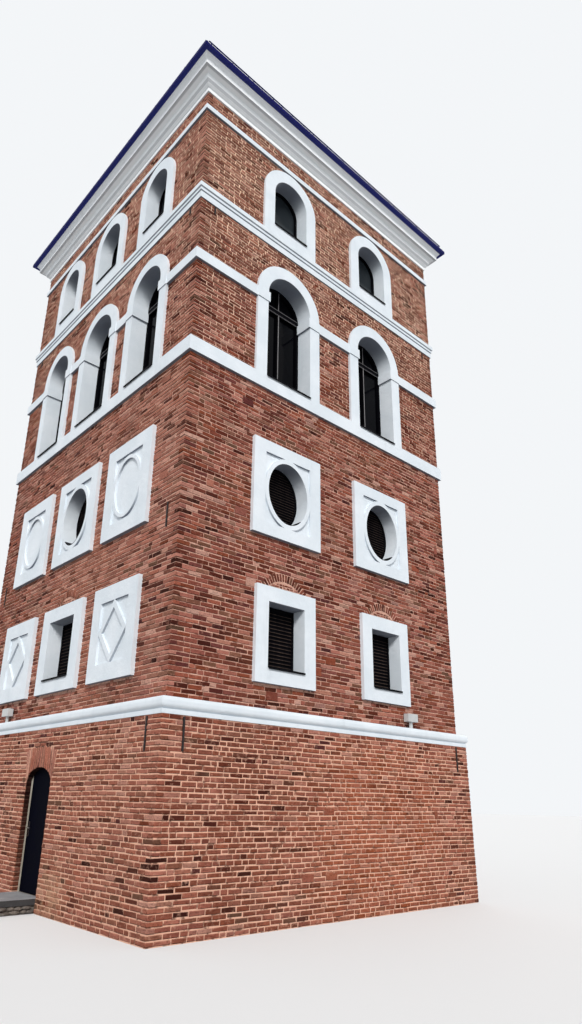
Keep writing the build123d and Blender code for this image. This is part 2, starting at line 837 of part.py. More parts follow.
# Lever handles on their plates, near the leaf's free edge, one on each face
handle_x = handle_inset - leaf_half
handle_level = floor_thickness + handle_height
grip_level = handle_level + handle_thickness
with BuildPart() as door_handle:
    for face, outwards in ((leaf_face, -1), (leaf_back, 1)):
        grip_y = face + outwards * handle_proud
        with Locations((handle_x, face + outwards * handle_plate_thickness / 2, handle_level)):
            Box(handle_plate_width, handle_plate_thickness, handle_plate_height)
        with BuildSketch(Plane.XZ.offset(-grip_y)):
            with Locations((handle_x, grip_level)):
                Circle(handle_thickness / 2)
        extrude(amount=grip_y - face, dir=(0, -1, 0))
        with BuildSketch(Plane.YZ.offset(handle_x)):
            with Locations((grip_y, grip_level)):
                Circle(handle_thickness / 2)
        extrude(amount=handle_length)
finish(door_handle, "door_handle")
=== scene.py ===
"""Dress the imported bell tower: brick courses, arches, louvres, roof seams and the finish of each surface."""

import json
import math
import random
from collections import namedtuple

import bmesh
import bpy
from mathutils import Matrix, Vector


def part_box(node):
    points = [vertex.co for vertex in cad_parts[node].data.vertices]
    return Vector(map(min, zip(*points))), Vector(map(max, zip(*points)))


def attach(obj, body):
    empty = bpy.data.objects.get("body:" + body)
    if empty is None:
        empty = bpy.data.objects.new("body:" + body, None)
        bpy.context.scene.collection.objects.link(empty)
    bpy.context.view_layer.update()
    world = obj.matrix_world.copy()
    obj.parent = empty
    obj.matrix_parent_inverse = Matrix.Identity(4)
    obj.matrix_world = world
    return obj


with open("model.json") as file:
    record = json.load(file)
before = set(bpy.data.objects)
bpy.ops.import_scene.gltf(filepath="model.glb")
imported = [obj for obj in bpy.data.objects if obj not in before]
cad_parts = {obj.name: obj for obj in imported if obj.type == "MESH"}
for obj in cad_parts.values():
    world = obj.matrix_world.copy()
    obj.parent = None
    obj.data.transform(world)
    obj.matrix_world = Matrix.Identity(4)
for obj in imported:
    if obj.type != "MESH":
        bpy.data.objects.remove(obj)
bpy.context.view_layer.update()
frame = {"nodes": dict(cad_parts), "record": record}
draw = random.Random(7)

# Levels and half sizes of the walls, from the frame
base_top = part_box("base_back")[1].z
moulding_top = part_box("base_moulding")[1].z
sill_low, sill_high = (corner.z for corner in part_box("sill_band"))
impost_low, impost_high = (corner.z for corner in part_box("impost_band"))
attic_low, attic_high = (corner.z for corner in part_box("attic_cornice"))
string_low, string_high = (corner.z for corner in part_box("string_course"))
cornice_low, cornice_high = (corner.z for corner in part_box("main_cornice"))
square_low, square_high = (corner.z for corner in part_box("square_surrounds"))
round_low, round_high = (corner.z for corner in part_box("oculus_surrounds"))
tall_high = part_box("tall_surrounds")[1].z
attic_arch_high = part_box("attic_surrounds")[1].z
half_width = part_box("shaft_front")[1].x
half_depth = -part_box("shaft_front")[0].y
foot_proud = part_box("base_front_right")[1].x - half_width

# Sizes of the walls' bays, in metres
ledge_proud = 0.130
front_bays = (-2.005, 0.0, 2.005)
flank_bays = (-1.335, 1.335)
plaque_widths = {"front": (1.47, 1.64, 1.47), "flank": (1.39, 1.39)}
panel_widths = {"front": (1.535, 1.65, 1.535), "flank": (1.67, 1.67)}
tall_widths = {"front": (1.50, 1.66, 1.50), "flank": (1.705, 1.705)}
attic_widths = {"front": (1.285, 1.408, 1.285), "flank": (1.49, 1.49)}

# Brickwork: the joints are wide in the base and finer in the shaft
Storey = namedtuple("Storey", "bed_joint upright_joint header_share eased_edge")
storeys = {
    "base": Storey(0.0150, 0.0160, 0.42, 0.0100),
    "shaft": Storey(0.0130, 0.0090, 0.34, 0.0075),
    "belfry": Storey(0.0125, 0.0170, 0.46, 0.0080),
    "attic": Storey(0.0135, 0.0180, 0.50, 0.0080),
    "frieze": Storey(0.0135, 0.0180, 0.50, 0.0080),
}
course_pitch = 0.0755
stretcher = 0.250
header = 0.119
corner_depth = 0.119
brick_depth = 0.020
brick_proud = 0.0085
edge_fall = 0.0058
deep_flank = 0.0030
double_share = 0.003
into_plaster = 0.030
first_bed = 0.004
shortest_stretch = 0.030
shortest_brick = 0.020
joint_stagger = 0.035
last_brick = 1.3
facing = 0.8

# How uneven the bricks are: ranges that are drawn from for each of them
length_play = (-0.022, 0.016)
upright_play = (0.65, 1.40)
bed_play = (0.70, 1.35)
face_play = (-0.0035, 0.0020)
level_play = 0.005
corner_play = 0.0034
brick_turn = 0.009
slow_sway, quick_sway = 0.0070, 0.0045

# Tones of the bricks: the share up to each mark, and the range that each kind's tone is drawn from
burnt_below, dark_below, pale_above = 0.06, 0.23, 0.90
burnt_tones, dark_tones, pale_tones = (0.0, 0.1), (0.12, 0.38), (0.84, 1.0)
usual_tone, usual_spread, usual_low, usual_high = 0.57, 0.23, 0.12, 0.97
attributes = ("tone", "warmth", "fringe")

# Doorway in the base
door_half = 0.515
door_springing = 1.980
door_rise = 0.280
door_arch_half = 0.640
door_arch_crown = 2.612
door_arch_drop = 0.070
door_voussoirs = 15
door_arch_tones = (0.72, 1.0)
door_arch_edge = 0.0080
jamb_proud = 0.007
jamb_reach = 0.020
door_frame_front = -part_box("door_frame")[0].y

# Relieving arches over the square windows
relief_half = 0.585
relief_crown_rise = 0.315
relief_ring = 0.140
relief_count = 20
relief_gap_play = (0.14, 0.24)
relief_tones = (0.1, 0.22, 0.3, 0.4, 0.62)
relief_edge = 0.0055
packing_rows = 4
packing_pitch = 0.042
packing_turn = 0.050
packing_sunk = 0.004

# Louvre panels
louvre_rim = 0.045
plate_sunk = 0.026
slat_depth = 0.030
slat_thick = 0.006
slat_lean = math.radians(38)
slat_sunk = 0.004
slat_ends = 0.020
shortest_half_slat = 0.050

# Window bars and sills
rim_width = 0.050
frame_before_glass = 0.050
under_transom, over_transom = 0.04, 0.08
lip_height = 0.034
lip_thick = 0.006

# Roof seams
seam_pitch = 0.56
seam_high = 0.026
seam_thick = 0.016
seam_foot = 0.012
seam_stop = 0.10
shortest_seam = 0.20
hip_radius = 0.045
hip_ends = (0.012, 0.965)

# Rubble under the landing slab
stone_rows = (0.038, 0.096)
stone_lengths = (0.055, 0.095)
stone_widths = (0.45, 0.60)
stone_heights = (0.026, 0.032)
stone_spacing = 1.75


def srgb(red, green, blue):
    """A colour from its 0 to 255 values, as the shaders take it."""
    def linear(value):
        share = value / 255
        return share / 12.92 if share <= 0.04045 else ((share + 0.055) / 1.055) ** 2.4
    return (linear(red), linear(green), linear(blue), 1.0)


def grey(value):
    """A plain grey."""
    return (value, value, value, 1.0)


class Steps:
    """Short ways to add to a shader tree."""

    def __init__(self, tree):
        self.tree = tree

    def link(self, source, target):
        """Join one socket to another."""
        self.tree.links.new(source, target)

    def node(self, kind, inputs=None, **settings):
        """Add a node with its settings, and with a value or a link for each input that is given."""
        made = self.tree.nodes.new(kind)
        for key, value in settings.items():
            setattr(made, key, value)
        for label, value in (inputs or {}).items():
            if isinstance(value, bpy.types.NodeSocket):
                self.link(value, made.inputs[label])
            else:
                made.inputs[label].default_value = value
        return made

    def axis(self, kind, label, letter):
        """One axis of a place or a direction."""
        return self.node("ShaderNodeSeparateXYZ", {0: self.node(kind).outputs[label]}).outputs[letter]

    def maths(self, operation, *values):
        """One step of maths."""
        return self.node("ShaderNodeMath", dict(enumerate(values)), operation=operation).outputs[0]

    def size(self, value):
        """A value without its sign."""
        return self.maths("ABSOLUTE", value)

    def sum(self, value, factor, more):
        """A value times a factor, plus another value."""
        return self.maths("MULTIPLY_ADD", value, factor, more)

    def times(self, mask, *factors):
        """A mask made weaker or stronger by numbers or other masks."""
        for factor in factors:
            mask = self.maths("MULTIPLY", mask, factor)
        return mask

    def spread(self, value, low, high):
        """A mask that rises from 0 to 1 while a value goes from low to high."""
        inputs = {"Value": value, "From Min": low, "From Max": high}
        return self.node("ShaderNodeMapRange", inputs, interpolation_type="SMOOTHSTEP").outputs["Result"]

    def noise(self, scale, low, high, stretch, offset):
        """Soft patches at a given scale: 0 outside them, 1 inside."""
        place = self.node("ShaderNodeTexCoord").outputs["Object"]
        shape = self.node("ShaderNodeCombineXYZ", {"X": 1.0, "Y": 1.0, "Z": stretch}).outputs["Vector"]
        scaled = self.node("ShaderNodeVectorMath", {0: place, 1: shape}, operation="MULTIPLY")
        inputs = {"Vector": scaled.outputs["Vector"], "Scale": scale, "W": offset}
        inputs.update({"Detail": 5.0, "Roughness": 0.6})
        made = self.node("ShaderNodeTexNoise", inputs, noise_dimensions="4D")
        return self.spread(made.outputs["Fac"], low, high)

    def within(self, centre, radius, core):
        """A soft round spot at a place on the object."""
        place = self.node("ShaderNodeTexCoord").outputs["Object"]
        apart = self.node("ShaderNodeVectorMath", {0: place, 1: centre}, operation="DISTANCE")
        return self.spread(apart.outputs["Value"], radius, radius * core)

    def spot(self, centre, radius, core):
        """A soft spot, uneven at its rim."""
        rim = self.noise(5.0 / radius, 0.32, 0.6, 1.0, radius)
        return self.times(self.within(centre, radius, core), rim)


# Node groups that more than one finish uses
def new_group(name, **inputs):
    """Start a shader node group with these numbers as inputs and one mask as output."""
    group = bpy.data.node_groups.new(name, "ShaderNodeTree")
    for label, value in inputs.items():
        group.interface.new_socket(label, in_out="INPUT", socket_type="NodeSocketFloat").default_value = value
    group.interface.new_socket("Mask", in_out="OUTPUT", socket_type="NodeSocketFloat")
    given = group.nodes.new("NodeGroupInput").outputs
    result = group.nodes.new("NodeGroupOutput").inputs["Mask"]
    return Steps(group), given, result


def build_patches():
    """Soft patches whose scale, stretch and bounds are inputs."""
    steps, given, result = new_group("Patches", Scale=1.0, Stretch=1.0, Low=0.45, High=0.6, Offset=0.0)
    labels = ("Scale", "Low", "High", "Stretch", "Offset")
    steps.link(steps.noise(*(given[label] for label in labels)), result)
    return steps.tree


def build_band(name, kind, label):
    """A mask over the upward axis of a place or a direction, from 0 at Low to 1 at High."""
    steps, given, result = new_group(name, Low=0.0, High=1.0)
    steps.link(steps.spread(steps.axis(kind, label, "Z"), given["Low"], given["High"]), result)
    return steps.tree


def build_doorway_shade():
    """Painted shade on the brick inside the doorway, strongest under its arch."""
    steps, given, result = new_group("Doorway shade")
    across, depth, height = (steps.axis("ShaderNodeTexCoord", "Object", letter) for letter in "XYZ")
    shade = steps.times(
        steps.spread(steps.size(across), 0.575, 0.530),
        steps.spread(depth, -half_depth - 0.136, -half_depth - 0.116),
        steps.spread(depth, -half_depth + 0.4, -half_depth + 0.3),
        steps.spread(height, -1.0, 1.8),
        steps.spread(height, 2.75, 2.65),
        0.95,
    )
    steps.link(shade, result)
    return steps.tree


def build_sand_patch():
    """A sandy smear beside the door's foot."""
    steps, given, result = new_group("Sand patch")
    steps.link(steps.times(steps.spot((0.95, -3.78, 0.25), 0.8, 0.1), 0.6), result)
    return steps.tree


patches = build_patches()
height_band = build_band("Height band", "ShaderNodeTexCoord", "Object")
facing_band = build_band("Facing band", "ShaderNodeNewGeometry", "Normal")
doorway_shade = build_doorway_shade()
sand_patch = build_sand_patch()


class Finish(Steps):
    """One material and the steps that build it. Its colours are red, green and blue out of 255."""

    def __init__(self, name, roughness=0.8, metallic=0.0, gloss=0.5):
        self.material = bpy.data.materials.new(name)
        self.material.use_nodes = True
        super().__init__(self.material.node_tree)
        self.shader = self.tree.nodes["Principled BSDF"]
        self.shader.inputs["Roughness"].default_value = roughness
        self.shader.inputs["Metallic"].default_value = metallic
        self.shader.inputs["Specular IOR Level"].default_value = gloss

    def group(self, tree, **inputs):
        """The mask of a node group."""
        return self.node("ShaderNodeGroup", node_tree=tree, inputs=inputs).outputs["Mask"]

    def mask(self, scale, low=0.45, high=0.6, stretch=1.0, offset=0.0):
        """Patches as a mask."""
        return self.group(patches, Scale=scale, Low=low, High=high, Stretch=stretch, Offset=offset)

    def height_mask(self, low, high):
        """A mask that rises from 0 to 1 between two heights."""
        return self.group(height_band, Low=low, High=high)

    def underside(self, low, high):
        """A mask for faces that look down."""
        return self.group(facing_band, Low=low, High=high)

    def paint(self, under, *coats):
        """Lay colours over each other: each coat is its colour, its mask and what weakens the mask."""
        for over, mask, *factors in coats:
            made = self.node("ShaderNodeMix", data_type="RGBA")
            for value, socket in ((under, made.inputs["A"]), (over, made.inputs["B"])):
                if isinstance(value, tuple):
                    socket.default_value = srgb(*value)
                else:
                    self.link(value, socket)
            self.link(self.times(mask, *factors), made.inputs["Factor"])
            under = made.outputs["Result"]
        return under

    def colour(self, socket):
        """Give the surface its colour."""
        self.link(socket, self.shader.inputs["Base Color"])
        return self

    def rough(self, low, high, mask):
        """Vary the roughness between two values by a mask."""
        spread = self.node("ShaderNodeMapRange", {"Value": mask, "To Min": low, "To Max": high})
        self.link(spread.outputs["Result"], self.shader.inputs["Roughness"])
        return self

    def bump(self, distance, *masks):
        """Raise the surface by masks, each a share of the distance."""
        below = {}
        for mask, share in masks:
            inputs = {"Distance": distance * share, "Strength": 1.0, "Height": mask, **below}
            below = {"Normal": self.node("ShaderNodeBump", inputs).outputs["Normal"]}
        self.link(below["Normal"], self.shader.inputs["Normal"])
        return self


# Finishes
brick_tones = (
    (0.0, (42, 20, 16)),
    (0.12, (74, 32, 24)),
    (0.28, (104, 50, 38)),
    (0.5, (138, 76, 63)),
    (0.7, (164, 97, 83)),
    (0.88, (194, 128, 112)),
    (1.0, (218, 174, 156)),
)


def brick_finish():
    """Old hand-made brick: each brick has its own tone, with mortar smeared over its top edges here and there,
    painted shade along its lower edges and painted shade inside the doorway.
    """
    skin = Finish("old_brick", 0.9, gloss=0.08)
    tone, warmth, fringe = (
        skin.node("ShaderNodeAttribute", attribute_name=name).outputs["Fac"] for name in attributes
    )
    ramp = skin.node("ShaderNodeValToRGB", {"Fac": tone})
    ramp.color_ramp.elements[0].color = srgb(*brick_tones[0][1])
    ramp.color_ramp.elements[1].color = srgb(*brick_tones[-1][1])
    for place, shade in brick_tones[1:-1]:
        ramp.color_ramp.elements.new(place).color = srgb(*shade)

    not_burnt = skin.spread(tone, 0.06, 0.30)
    lower = skin.height_mask(3.1, 2.6)
    front_or_back = skin.spread(skin.size(skin.axis("ShaderNodeNewGeometry", "Normal", "Y")), 0.6, 0.8)
    near_corner = skin.spread(skin.axis("ShaderNodeTexCoord", "Object", "X"), -6.5, 3.0)
    grain = skin.mask(70.0, 0.3, 0.75, offset=1.0)
    blotch = skin.mask(22.0, 0.48, 0.70, 1.8, offset=12.0)
    pores = skin.mask(150.0, 0.35, 0.65, offset=2.0)
    clay = skin.paint(
        ramp.outputs["Color"],
        # Purple, drab and orange bricks
        ((96, 56, 62), skin.spread(warmth, 0.16, 0.04), 0.45),
        ((128, 100, 80), skin.spread(warmth, 0.16, 0.20), skin.spread(warmth, 0.34, 0.28), 0.55),
        ((174, 92, 62), skin.spread(warmth, 0.72, 0.95), 0.45),
        # Ochre and greyed stretches of wall
        ((160, 98, 70), skin.mask(0.55, 0.46, 0.66, offset=3.0), 0.30),
        ((118, 84, 74), skin.mask(0.9, 0.5, 0.68, offset=11.0), 0.30),
        # The warm part of the base's right side
        ((190, 100, 62), skin.spot((3.80, 0.9, 1.25), 2.4, 0.35), 0.62),
        # Paler bricks higher up, most of all on the front by the corner, with darker patches
        ((206, 158, 136), skin.height_mask(9.5, 14.5), not_burnt, 0.32),
        ((230, 164, 142), front_or_back, skin.height_mask(-6.0, 14.0), 0.48, not_burnt, near_corner),
        ((104, 50, 38), skin.mask(3.6, 0.44, 0.60, 1.6, offset=21.0), skin.height_mask(6.0, 11.0), 0.42),
        # Burnt bricks near the corner, and the base's own colour
        ((84, 38, 30), skin.spot((3.9, -2.3, 2.1), 1.7, 0.3), 0.8),
        ((180, 110, 86), lower, not_burnt, 0.38),
        # Grain within each brick
        ((76, 34, 28), grain, 0.34),
        ((66, 28, 22), blotch, 0.45),
    )
    lime = skin.paint(
        (178, 126, 108),
        ((216, 166, 142), lower),
        ((200, 160, 130), skin.height_mask(8.0, 14.0), 0.6),
    )
    limed_rim = skin.spread(skin.sum(skin.mask(34.0, 0.2, 0.8, offset=7.0), 0.7, fringe), 0.62, 1.3)
    # Painted shade: a dark band along each brick's lower edge, broken up by noise
    rim_shade_noise = skin.times(skin.mask(19.0, 0.3, 0.7, offset=15.0), 0.5)
    shaded_lower_rim = skin.spread(skin.sum(fringe, -1.0, rim_shade_noise), 0.3, 1.1)
    clay = skin.paint(
        clay,
        (lime, limed_rim, 0.6),
        # Painted shade along the lower edge of each brick
        ((40, 13, 9), shaded_lower_rim, 0.85),
        (lime, skin.mask(12.0, 0.54, 0.72, offset=5.0), 0.62),
        ((190, 150, 120), skin.group(sand_patch)),
        ((68, 30, 24), skin.mask(0.8, 0.5, 0.8, 0.35, offset=8.0), 0.35),
        # Painted shade inside the doorway
        ((26, 9, 9), skin.group(doorway_shade)),
    )
    return skin.colour(clay).rough(0.82, 0.96, grain).bump(0.004, (grain, 1.0), (blotch, 1.0), (pores, 0.4))


def mortar_finish():
    """Lime mortar, pinkish below and more sandy above, with dark gaps on the outside of the walls."""
    skin = Finish("lime_mortar", 0.95, gloss=0.08)
    sand = skin.mask(26.0, 0.3, 0.7)
    grit = skin.mask(140.0, 0.3, 0.7, offset=9.0)
    indoors = skin.times(*(
        skin.spread(skin.size(skin.axis("ShaderNodeTexCoord", "Object", letter)), half - 0.05, half - 0.12)
        for letter, half in (("X", half_width), ("Y", half_depth))
    ))
    outdoors = skin.spread(indoors, 1.0, 0.0)
    lime = skin.paint(
        (196, 148, 130),
        ((220, 178, 158), sand),
        ((238, 206, 178), skin.height_mask(8.0, 14.0), 0.9),
        ((236, 186, 160), skin.height_mask(3.1, 2.6), 0.85),
        # Darker patches: stains, with painted shade standing in for pits in the mortar
        ((150, 104, 88), skin.mask(2.2, 0.5, 0.72, offset=4.0), 0.45),
        ((62, 26, 18), skin.mask(9.0, 0.52, 0.66, offset=13.0), outdoors, 0.78),
        # Dark joints of the arch over the door
        ((58, 28, 24), skin.within((0.0, -half_depth - 0.14, 2.25), 0.50, 0.9), 0.85),
        ((208, 174, 144), skin.group(sand_patch)),
        # Painted shade inside the doorway
        ((40, 18, 16), skin.group(doorway_shade)),
    )
    return skin.colour(lime).bump(0.004, (sand, 1.0), (grit, 0.5))


def plaster_finish():
    """Smooth white limewash on plaster, a little grey where rain runs, with painted shade under faces that
    look down and where the cornice's steps meet, and painted light over the whole cornice.
    """
    skin = Finish("white_plaster", 0.75)
    cloud = skin.mask(1.4, 0.35, 0.7)
    trowel = skin.mask(9.0, 0.3, 0.7, offset=1.0)
    grit = skin.mask(160.0, 0.3, 0.7, offset=7.0)
    above_base = skin.height_mask(3.3, 3.5)
    below_string = skin.height_mask(string_low + 0.3, string_low + 0.2)
    # Painted shade: thin grey bands at the heights where the cornice's steps meet
    cornice_step_shades = []
    for share_low, share_high, strength in ((0.15, 0.19, 0.25), (0.27, 0.37, 0.42), (0.595, 0.625, 0.5)):
        low, high = (cornice_low + share * (cornice_high - cornice_low) for share in (share_low, share_high))
        over = skin.height_mask(low - 0.004, low + 0.004)
        under = skin.height_mask(high + 0.004, high - 0.004)
        cornice_step_shades.append(((86, 94, 106), over, under, strength))
    white = skin.paint(
        (218, 227, 234),
        ((230, 237, 243), cloud),
        ((176, 184, 190), skin.mask(3.5, 0.54, 0.8, 0.18, offset=6.0), 0.22),
        ((168, 168, 164), skin.mask(45.0, 0.66, 0.72, offset=2.0), 0.35),
        # Painted shade on faces that look down, between the base and the string course
        ((50, 56, 80), skin.underside(-0.3, -0.95), above_base, below_string, 0.78),
        # Painted light: the cornice is painted whiter, making up for the shade under the eave
        ((248, 251, 252), skin.height_mask(cornice_low - 0.01, cornice_low + 0.01), 0.8),
        *cornice_step_shades,
    )
    return skin.colour(white).rough(0.65, 0.85, cloud).bump(0.003, (trowel, 1.0), (grit, 0.25))


def sheet_finish(name, main, worn, roughness, gloss=0.5, metallic=0.0, under=None):
    """Painted sheet metal with faint dust and wear; where `under` is given, painted light in that colour on
    faces that look down.
    """
    skin = Finish(name, roughness, metallic, gloss)
    dust = skin.times(skin.mask(3.0, 0.45, 0.75), 0.5)
    scratch = skin.mask(60.0, 0.6, 0.7, 4.0, offset=3.0)
    ripple = skin.mask(4.0, 0.3, 0.7, offset=5.0)
    paint = skin.paint(main, (worn, dust), (worn, scratch, 0.35))
    if under:
        # Painted light on faces that look down
        paint = skin.paint(paint, (under, skin.underside(-0.5, -0.9)))
    rough_low, rough_high = roughness - 0.08, roughness + 0.2
    return skin.colour(paint).rough(rough_low, rough_high, dust).bump(0.002, (ripple, 1.0), (scratch, 0.1))


def iron_finish():
    """Forged iron, dark with some rust."""
    skin = Finish("forged_iron", 0.8, 0.1)
    rust = skin.mask(18.0, 0.5, 0.68)
    pits = skin.mask(120.0, 0.4, 0.6, offset=4.0)
    iron = skin.paint((20, 15, 15), ((70, 38, 28), rust, 0.45))
    return skin.colour(iron).rough(0.6, 0.9, rust).bump(0.0015, (pits, 1.0))


def glass_finish():
    """Dark window glass: nearly black below and greyer in the top storey, with a painted reflection over the
    lower part of the top storey's panes.
    """
    skin = Finish("window_pane", 0.1, gloss=0.04)
    skin.shader.inputs["IOR"].default_value = 1.5
    dust = skin.times(skin.mask(2.0, 0.45, 0.75), 0.25)
    wave = skin.mask(1.6, 0.3, 0.7, offset=3.0)
    below = skin.paint((4, 4, 7), ((16, 16, 20), dust))
    # Painted reflection: pale grey over the lower part of the top storey's panes
    painted_reflection = skin.height_mask(attic_high + 0.95, attic_high + 0.35)
    above = skin.paint((36, 41, 45), ((138, 148, 150), painted_reflection))
    pane = skin.paint(below, (above, skin.height_mask(attic_low, attic_high)))
    return skin.colour(pane).rough(0.06, 0.3, dust).bump(0.002, (wave, 1.0))


def stone_finish(name, light, dark, scale, edge=0.0):
    """Grey natural stone with darker flecks, and painted shade on faces that do not look up, as strong as
    `edge`.
    """
    skin = Finish(name, 0.85)
    cloud = skin.mask(scale, 0.35, 0.7)
    fleck = skin.mask(scale * 22, 0.55, 0.65, offset=3.0)
    upright = skin.underside(0.6, 0.2)
    # Painted shade on faces that do not look up, by `edge`
    stone = skin.paint(light, (dark, cloud), (dark, fleck, 0.6), ((16, 16, 18), upright, edge))
    return skin.colour(stone).rough(0.7, 0.92, fleck).bump(0.004, (cloud, 1.0), (fleck, 0.3))


def wood_finish(name, light, dark, gloss=0.5):
    """Boards with grain along their length."""
    skin = Finish(name, 0.7, gloss=gloss)
    grain = skin.mask(14.0, 0.3, 0.7, 0.12)
    wood = skin.paint(light, (dark, grain), (dark, skin.mask(3.0, 0.62, 0.72, 0.5, offset=5.0), 0.6))
    return skin.colour(wood).rough(0.55, 0.8, grain).bump(0.0015, (grain, 1.0))


finishes = {
    "brick": brick_finish(),
    "mortar": mortar_finish(),
    "plaster": plaster_finish(),
    # The roof's downward faces get painted light in a paler blue
    "roof_metal": sheet_finish("blue_roof_sheet", (0, 0, 78), (6, 8, 96), 0.55, 0.05, under=(44, 50, 116)),
    "louvre": sheet_finish("dark_louvre", (8, 8, 12), (22, 20, 24), 0.7, 0.02),
    "slat": wood_finish("weathered_slat", (72, 60, 54), (40, 34, 34), 0.02),
    "bead": sheet_finish("grey_window_bead", (112, 110, 112), (80, 80, 84), 0.6),
    "window_iron": sheet_finish("dark_window_bar", (7, 7, 11), (18, 18, 22), 0.65, 0.02),
    "sill_metal": sheet_finish("black_sill_sheet", (14, 14, 18), (34, 34, 38), 0.5, 0.02),
    "glass": glass_finish(),
    "iron": iron_finish(),
    "lamp_metal": sheet_finish("pale_lamp_case", (196, 198, 198), (150, 150, 150), 0.4),
    "floor_paving": stone_finish("floor_paving", (168, 158, 146), (120, 112, 104), 1.5),
    "floor_boards": wood_finish("floor_boards", (150, 112, 74), (104, 74, 46)),
    # The step slab's sides get strong painted shade
    "step_stone": stone_finish("grey_step_slab", (158, 158, 160), (132, 132, 136), 3.0, 0.9),
    "footing_stone": stone_finish("footing_rubble", (128, 118, 108), (84, 78, 74), 5.0),
    "door_frame_paint": wood_finish("pale_door_frame", (188, 182, 168), (150, 142, 126)),
    "door_paint": sheet_finish("navy_door_paint", (5, 6, 16), (10, 11, 26), 0.8, 0.02),
    "handle_steel": sheet_finish("handle_metal", (150, 150, 150), (110, 108, 104), 0.35, metallic=1.0),
}


def dress_frame():
    """Give every CAD node its finish. The walls themselves are the mortar behind the bricks."""
    for row in frame["record"]["subparts"]:
        slot = row["material_slot"]
        finish = finishes["mortar" if slot == "brick" else slot]
        mesh = frame["nodes"][row["node"]].data
        mesh.materials.clear()
        mesh.materials.append(finish.material)


def to_mesh(bm, name):
    """Turn a bmesh into a mesh and let the bmesh go."""
    mesh = bpy.data.meshes.new(name)
    bm.to_mesh(mesh)
    bm.free()
    return mesh


def gather(whole, part):
    """Add one bmesh to another and let it go."""
    mesh = to_mesh(part, "part")
    whole.from_mesh(mesh)
    bpy.data.meshes.remove(mesh)


def add_piece(name, bm, slot, finish=None):
    """Make a piece of the tower from a finished bmesh."""
    mesh = to_mesh(bm, name)
    mesh.materials.append((finish or finishes[slot]).material)
    piece = bpy.data.objects.new(name, mesh)
    bpy.context.scene.collection.objects.link(piece)
    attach(piece, "tower")


def add_block(bm, place, size, bevel=0.0):
    """Add a block with its width, depth and height, round its edges, and return its first corners."""
    made = bmesh.ops.create_cube(bm, size=1.0, matrix=place @ Matrix.Diagonal((*size, 1.0)))
    if bevel:
        edges = {edge for vert in made["verts"] for edge in vert.link_edges}
        bmesh.ops.bevel(bm, geom=list(edges), offset=bevel, segments=1, profile=0.5, affect="EDGES",
                        material=-1)
    return made["verts"]


# Sides of the tower: `along` runs to the right as seen from outside
class Side:
    """One side of the shaft, with the distance of its face and its bays."""

    def __init__(self, name, kind, along, outward, face, half, bays):
        self.name, self.kind, self.bays = name, kind, bays
        self.order = ("front", "right", "back", "left").index(name)
        self.along, self.outward = Vector(along), Vector(outward)
        self.face, self.half = face, half

    def place(self, across, height, out, lean=0.0, turn=0.0):
        """Where a brick stands: across, height, out from the face, leaning back and turned in the face."""
        axes = Matrix((self.along, -self.outward, Vector((0, 0, 1)))).transposed().to_4x4()
        turned = Matrix.Rotation(-lean, 4, "X") @ Matrix.Rotation(turn, 4, "Y")
        return Matrix.Translation(self.spot(across, height, out)) @ axes @ turned

    def spot(self, across, height, out):
        """A point on or off the face."""
        return self.outward * (self.face + out) + self.along * across + Vector((0, 0, height))

    def span(self, low, high):
        """A box as seen from this side: its middle across, its width, and how far out it reaches."""
        ends = [corner.dot(self.along) for corner in (low, high)]
        reach = max(corner.dot(self.outward) for corner in (low, high))
        return sum(ends) / 2, abs(ends[1] - ends[0]), reach - self.face


sides = (
    Side("front", "front", (1, 0, 0), (0, -1, 0), half_depth, half_width, front_bays),
    Side("right", "flank", (0, 1, 0), (1, 0, 0), half_width, half_depth, flank_bays),
    Side("back", "front", (-1, 0, 0), (0, 1, 0), half_depth, half_width, front_bays),
    Side("left", "flank", (0, -1, 0), (-1, 0, 0), half_width, half_depth, flank_bays),
)


# What a course of bricks has to stop at, as the blocked stretch for a course between two heights
def block_panel(middle, width, low, high):
    """A square panel of plaster."""
    def blocked(bottom, top):
        if top <= low or bottom >= high:
            return None
        return (middle - width / 2 + into_plaster, middle + width / 2 - into_plaster)
    return blocked


def block_round_head(middle, width, crown):
    """A round-headed surround of plaster."""
    radius = width / 2
    springing = crown - radius

    def blocked(bottom, top):
        if bottom >= crown - into_plaster:
            return None
        rise = max(top - springing, 0.0)
        if rise >= radius:
            return None
        reach = math.sqrt(radius**2 - rise**2) - into_plaster
        return (middle - reach, middle + reach) if reach > 0 else None
    return blocked


def block_arch(middle, foot_half, head_half, low, crown, drop):
    """A brick arch, as wide at its foot and head as given, whose back falls by `drop` from its crown."""
    shoulder = crown - drop

    def blocked(bottom, top):
        height = (bottom + top) / 2
        if height <= low or height >= crown:
            return None
        if height > shoulder:
            reach = head_half * math.sqrt((crown - height) / drop)
        else:
            reach = foot_half + (head_half - foot_half) * (height - low) / (shoulder - low)
        return (middle - reach, middle + reach)
    return blocked


